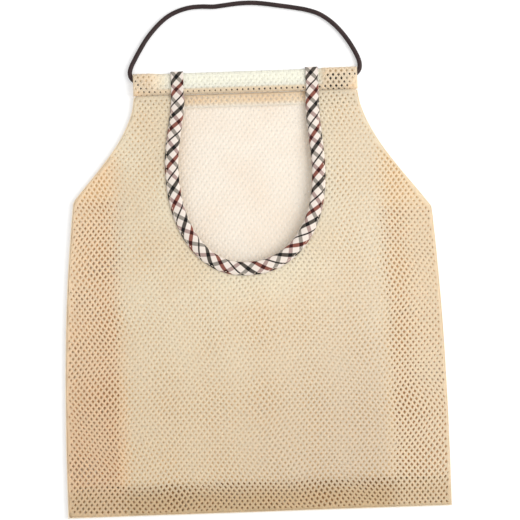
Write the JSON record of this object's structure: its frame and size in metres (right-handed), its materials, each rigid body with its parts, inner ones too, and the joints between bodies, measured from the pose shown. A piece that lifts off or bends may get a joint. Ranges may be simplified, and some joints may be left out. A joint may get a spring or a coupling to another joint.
{
  "type": "mesh bag",
  "caption": "Flat net storage bag with pleated sides, a bound U-shaped mouth in its front and a cord loop at the hem to hang it by.",
  "frame": {"origin": "middle of the bag's back, on the surface it lies on; the cord loop is left out of the measure", "axes": "+X across the bag to the right as seen from its front, +Y up the bag towards the hem and its cord, +Z out of the front panel"},
  "size_m": [0.364, 0.4849, 0.0141],
  "materials": {
    "net": "beige knitted net with small staggered holes",
    "tape": "woven check of cream, black and dark red, cut on the bias and folded",
    "thread": "spun sewing thread",
    "strip": "white stiffening strip",
    "cord": "dark brown braided cord"
  },
  "bodies": {
    "bag": {"back_panel": "net", "front_panel": "net", "left_gusset": "net", "right_gusset": "net", "base_gusset": "net", "top_casing": "net", "hem_facing": "net", "top_stiffener": "strip", "opening_binding": "tape", "binding_stitch": "thread", "left_back_seam": "thread", "left_front_seam": "thread", "right_back_seam": "thread", "right_front_seam": "thread", "base_back_seam": "thread", "base_front_seam": "thread", "cord_run": "cord", "cord_tail": "cord", "cord_knot": "cord"},
    "cord_loop": {"hanging_cord": "cord"}
  },
  "joints": [
    {"name": "cord_swing", "type": "hinge", "parent": "bag", "child": "cord_loop", "pos_m": [0, 0.2034, 0.0033], "axis": [1, 0, 0], "range_deg": [0, 150]}
  ]
}
